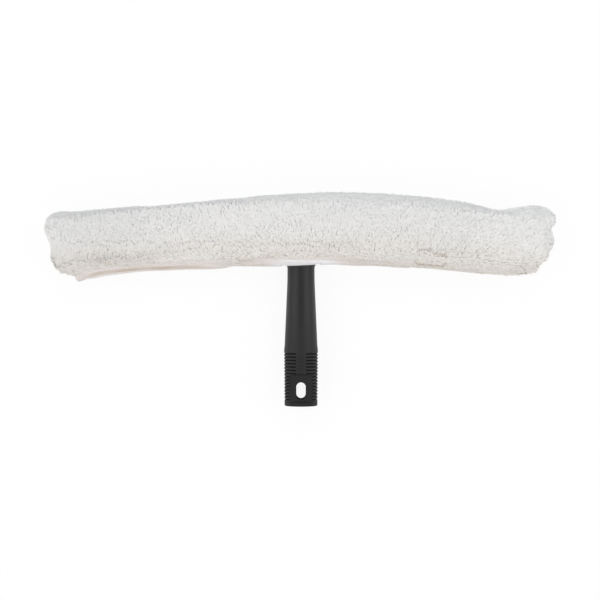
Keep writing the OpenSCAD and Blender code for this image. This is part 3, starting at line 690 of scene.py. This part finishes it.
# Nylon hook tape, moulded: rows of tiny stiff hooks that catch the light one by one.
hookPitch = 1.5  # real hooks stand 0.8 mm apart, drawn coarser to show
hookMaterial, tree = newMaterial("nylonHookTapeMoulded")
place = addNode(tree, "TexCoord")
hooks = addNode(tree, "TexVoronoi", {"Scale": 1000 / hookPitch, "Randomness": 0.15},
                {"Vector": place.outputs["Object"]})
shade = addNode(tree, "ValToRGB", links={"Fac": hooks.outputs["Distance"]})
shade.color_ramp.elements[0].color = linear("#EDEBE4")
shade.color_ramp.elements[1].color = linear("#BFBBB0")
relief = addNode(tree, "Bump", {"Strength": 0.8, "Distance": 0.0006, "invert": True},
                 {"Height": hooks.outputs["Distance"]})
shader = addNode(tree, "BsdfPrincipled", {"Roughness": 0.35, "IOR": 1.53},
                 {"Base Color": shade.outputs[0], "Normal": relief.outputs[0]})
addNode(tree, "OutputMaterial", links={"Surface": shader.outputs[0]})

# Nylon loop tape, napped: a low fuzz of loose loops, soft and without any shine.
loopMaterial, tree = newMaterial("nylonLoopTapeNapped")
place = addNode(tree, "TexCoord")
fuzz = addNode(tree, "TexNoise", {"Scale": 1400.0, "Detail": 6.0, "Roughness": 0.7},
               {"Vector": place.outputs["Object"]})
shade = addNode(tree, "ValToRGB", links={"Fac": fuzz.outputs["Fac"]})
shade.color_ramp.elements[0].position = 0.35
shade.color_ramp.elements[0].color = linear("#CFCBC1")
shade.color_ramp.elements[1].position = 0.62
shade.color_ramp.elements[1].color = linear("#F3F1EB")
relief = addNode(tree, "Bump", {"Strength": 0.7, "Distance": 0.0005}, {"Height": fuzz.outputs["Fac"]})
shader = addNode(tree, "BsdfPrincipled", {"Roughness": 0.92, "IOR": 1.53, "Sheen Weight": 0.3},
                 {"Base Color": shade.outputs[0], "Normal": relief.outputs[0]})
addNode(tree, "OutputMaterial", links={"Surface": shader.outputs[0]})

# Polyester sewing thread, twisted: fine slanting plies with a light gloss.
plyPitch = 0.8
threadMaterial, tree = newMaterial("polyesterThreadTwisted")
place = addNode(tree, "TexCoord")
plies = addNode(tree, "TexWave", {"Scale": 1000 / plyPitch / 6.28, "bands_direction": "DIAGONAL"},
                {"Vector": place.outputs["Object"]})
shade = addNode(tree, "ValToRGB", links={"Fac": plies.outputs["Fac"]})
shade.color_ramp.elements[0].color = linear("#CBC4B8")
shade.color_ramp.elements[1].color = linear("#F2EEE6")
relief = addNode(tree, "Bump", {"Strength": 0.6, "Distance": 0.0001}, {"Height": plies.outputs["Fac"]})
shader = addNode(tree, "BsdfPrincipled", {"Roughness": 0.45, "IOR": 1.57},
                 {"Base Color": shade.outputs[0], "Normal": relief.outputs[0]})
addNode(tree, "OutputMaterial", links={"Surface": shader.outputs[0]})

softTrim = {
    "end_seam_left": ("welt_left", 0.7, "scrubber", "woven", wovenMaterial),
    "end_seam_right": ("welt_right", 0.7, "scrubber", "woven", wovenMaterial),
    "closing_strip": ("closing_strip_woven", 0.8, "scrubber", "woven", wovenMaterial),
    "hook_tape_left": ("hook_tape_left_moulded", 0.7, "scrubber", "tape", hookMaterial),
    "hook_tape_right": ("hook_tape_right_moulded", 0.7, "scrubber", "tape", hookMaterial),
    "loop_tape_left": ("loop_tape_left_napped", 0.7, "flap", "tape", loopMaterial),
    "loop_tape_right": ("loop_tape_right_napped", 0.7, "flap", "tape", loopMaterial),
    "slot_bar_tacks": ("slot_tacks_sewn", 0.3, "scrubber", "thread", threadMaterial),
    "band_stitching": ("band_stitches_sewn", 0.3, "flap", "thread", threadMaterial),
    "corner_tip": ("corner_tip_folded", 0.5, "flap", "woven", wovenMaterial),
}


def followed(node, b):  # carries the trim along with the sleeve's reshaping
    if node == "band_stitching":
        turn = edgeTurn(b) - band["cadTurn"] + creaseTurn(b[:, 0]) + 0.03
        reach = np.hypot(b[:, 2] - band["centre"][1], band["centre"][0] - b[:, 1]) - 0.4
        b = np.stack([b[:, 0], band["centre"][0] - reach * np.cos(turn),
                      band["centre"][1] + reach * np.sin(turn)], 1)
    if node == "corner_tip":
        return np.stack([b[:, 0] - 6.8, -31.2 + (b[:, 1] + 32) * 0.8, b[:, 2]], 1)
    if node in ("closing_strip", "slot_bar_tacks") or "tape" in node:
        return b
    return shaped(b)


sewn = {}
for node, (name, voxel, body, slot, material) in softTrim.items():
    piece = sewn[node] = softCopy([node], name, voxel)
    writePoints(piece.data, fromBow(followed(node, toBow(readPoints(piece.data)))))
    paintPoints(piece, "fibreAndPaintedLight", [linear(band["light"])] * len(piece.data.vertices))
    piece.data.materials.clear()
    piece.data.materials.append(material)
    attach(piece, body)
    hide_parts(node)

print("the trim is sewn")

# Polypropylene, injection moulded: black, with a fine even texture that softens the
# reflections, and dull in its grooves where hands never rub it.
grip = {
    "axis": (0.0009, 0.01525), "end": -0.0955,  # the grip's axis, and its open end
    "endRadius": 0.0148, "widening": 0.45 / 51,  # the ribbed part's radius, and its growth from the end
    # the grooves' darker colour is painted shade
    "ribbed": -0.0455, "colour": "#141415", "groove": "#050505",
    "panelTop": -0.0665, "panelHalf": 0.0102,
}
gripMaterial, tree = newMaterial("polypropyleneMouldedGrip")
place = addNode(tree, "TexCoord")
parts = addNode(tree, "SeparateXYZ", links={"Vector": place.outputs["Object"]})
aside = addNode(tree, "Math", {"operation": "SUBTRACT", 1: grip["axis"][0]}, {0: parts.outputs["X"]})
above = addNode(tree, "Math", {"operation": "SUBTRACT", 1: grip["axis"][1]}, {0: parts.outputs["Z"]})
spoke = addNode(tree, "CombineXYZ", links={"X": aside.outputs[0], "Y": above.outputs[0]})
radius = addNode(tree, "VectorMath", {"operation": "LENGTH"}, {0: spoke.outputs[0]})
fromEnd = addNode(tree, "Math", {"operation": "SUBTRACT", 1: grip["end"]}, {0: parts.outputs["Y"]})
whole = addNode(tree, "Math", {"operation": "MULTIPLY_ADD", 1: grip["widening"], 2: grip["endRadius"]},
                {0: fromEnd.outputs[0]})
deep = addNode(tree, "Math", {"operation": "SUBTRACT"}, {0: whole.outputs[0], 1: radius.outputs["Value"]})
groove = addNode(tree, "MapRange", {"From Min": 0.00012, "From Max": 0.0005}, {"Value": deep.outputs[0]})
ribbed = addNode(tree, "Math", {"operation": "LESS_THAN", 1: grip["ribbed"]}, {0: parts.outputs["Y"]})
outer = addNode(tree, "Math", {"operation": "LESS_THAN", 1: 0.00095}, {0: deep.outputs[0]})
inGroove = addNode(tree, "Math", {"operation": "MULTIPLY"}, {0: groove.outputs[0], 1: ribbed.outputs[0]})
inGroove = addNode(tree, "Math", {"operation": "MULTIPLY"}, {0: inGroove.outputs[0], 1: outer.outputs[0]})
across = addNode(tree, "Math", {"operation": "ABSOLUTE"}, {0: aside.outputs[0]})
inner = addNode(tree, "Math", {"operation": "LESS_THAN", 1: grip["panelHalf"]}, {0: across.outputs[0]})
lower = addNode(tree, "Math", {"operation": "LESS_THAN", 1: grip["panelTop"]}, {0: parts.outputs["Y"]})
panel = addNode(tree, "Math", {"operation": "MULTIPLY"}, {0: inner.outputs[0], 1: lower.outputs[0]})
rounded = addNode(tree, "Math", {"operation": "SUBTRACT", 0: 1.0}, {1: panel.outputs[0]})
inGroove = addNode(tree, "Math", {"operation": "MULTIPLY"}, {0: inGroove.outputs[0], 1: rounded.outputs[0]})
worn = addNode(tree, "MapRange", {"From Min": 0.02, "From Max": 0.085, "To Min": 0.24, "To Max": 0.0},
               {"Value": fromEnd.outputs[0]})
worn = addNode(tree, "Math", {"operation": "MULTIPLY_ADD", 1: 0.1}, {0: panel.outputs[0], 2: worn.outputs[0]})
grain = addNode(tree, "TexNoise", {"Scale": 1400.0, "Detail": 2.0}, {"Vector": place.outputs["Object"]})
rub = addNode(tree, "TexNoise", {"Scale": 60.0, "Detail": 4.0}, {"Vector": place.outputs["Object"]})
glossAndPaintedHighlight = addNode(tree, "MapRange", {"To Min": 0.4, "To Max": 0.52}, {"Value": rub.outputs["Fac"]})
glossAndPaintedHighlight = addNode(tree, "Math", {"operation": "ADD"}, {0: glossAndPaintedHighlight.outputs[0], 1: worn.outputs[0]})
dull = addNode(tree, "Math", {"operation": "MULTIPLY_ADD", 1: 0.5, "use_clamp": True},
               {0: inGroove.outputs[0], 2: glossAndPaintedHighlight.outputs[0]})
# painted shade: the grooves are coloured a darker black
shade = addNode(tree, "MixRGB", {"Color1": linear(grip["colour"]), "Color2": linear(grip["groove"])},
                {"Fac": inGroove.outputs[0]})
relief = addNode(tree, "Bump", {"Strength": 0.12, "Distance": 0.0001}, {"Height": grain.outputs["Fac"]})
shader = addNode(tree, "BsdfPrincipled", {"IOR": 1.49},
                 {"Base Color": shade.outputs[0], "Roughness": dull.outputs[0], "Normal": relief.outputs[0]})
addNode(tree, "OutputMaterial", links={"Surface": shader.outputs[0]})

# Polypropylene, injection moulded: the bar and its caps are dull black with a
# coarser spark texture than the grip, hidden in the sleeve unless the flap is open.
barMaterial, tree = newMaterial("polypropyleneMouldedBar")
place = addNode(tree, "TexCoord")
grain = addNode(tree, "TexNoise", {"Scale": 900.0, "Detail": 3.0}, {"Vector": place.outputs["Object"]})
shade = addNode(tree, "ValToRGB", links={"Fac": grain.outputs["Fac"]})
shade.color_ramp.elements[0].color = linear("#141414")
shade.color_ramp.elements[1].color = linear("#262628")
glossAndPaintedHighlight = addNode(tree, "MapRange", {"To Min": 0.42, "To Max": 0.6}, {"Value": grain.outputs["Fac"]})
relief = addNode(tree, "Bump", {"Strength": 0.25, "Distance": 0.0001}, {"Height": grain.outputs["Fac"]})
shader = addNode(tree, "BsdfPrincipled", {"IOR": 1.49},
                 {"Base Color": shade.outputs[0], "Roughness": glossAndPaintedHighlight.outputs[0], "Normal": relief.outputs[0]})
addNode(tree, "OutputMaterial", links={"Surface": shader.outputs[0]})

# Steel screws, zinc plated after turning: bright grey with faint rings and a dull haze.
screwMaterial, tree = newMaterial("steelZincPlatedScrew")
place = addNode(tree, "TexCoord")
rings = addNode(tree, "TexWave", {"Scale": 320.0, "wave_type": "RINGS", "Distortion": 1.0},
                {"Vector": place.outputs["Object"]})
haze = addNode(tree, "TexNoise", {"Scale": 500.0, "Detail": 4.0}, {"Vector": place.outputs["Object"]})
shade = addNode(tree, "ValToRGB", links={"Fac": haze.outputs["Fac"]})
shade.color_ramp.elements[0].color = linear("#A9ACAF")
shade.color_ramp.elements[1].color = linear("#D3D5D6")
glossAndPaintedHighlight = addNode(tree, "MapRange", {"To Min": 0.26, "To Max": 0.42}, {"Value": haze.outputs["Fac"]})
relief = addNode(tree, "Bump", {"Strength": 0.1, "Distance": 0.00005}, {"Height": rings.outputs["Fac"]})
shader = addNode(tree, "BsdfPrincipled", {"Metallic": 1.0},
                 {"Base Color": shade.outputs[0], "Roughness": glossAndPaintedHighlight.outputs[0], "Normal": relief.outputs[0]})
addNode(tree, "OutputMaterial", links={"Surface": shader.outputs[0]})

hardParts = {
    "handle": gripMaterial, "saddle_screws": screwMaterial,
    "crossbar": barMaterial, "end_cap_left": barMaterial, "end_cap_right": barMaterial,
}
for node, material in hardParts.items():
    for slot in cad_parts[node].material_slots:
        slot.material = material
print("the plastic and steel are finished")
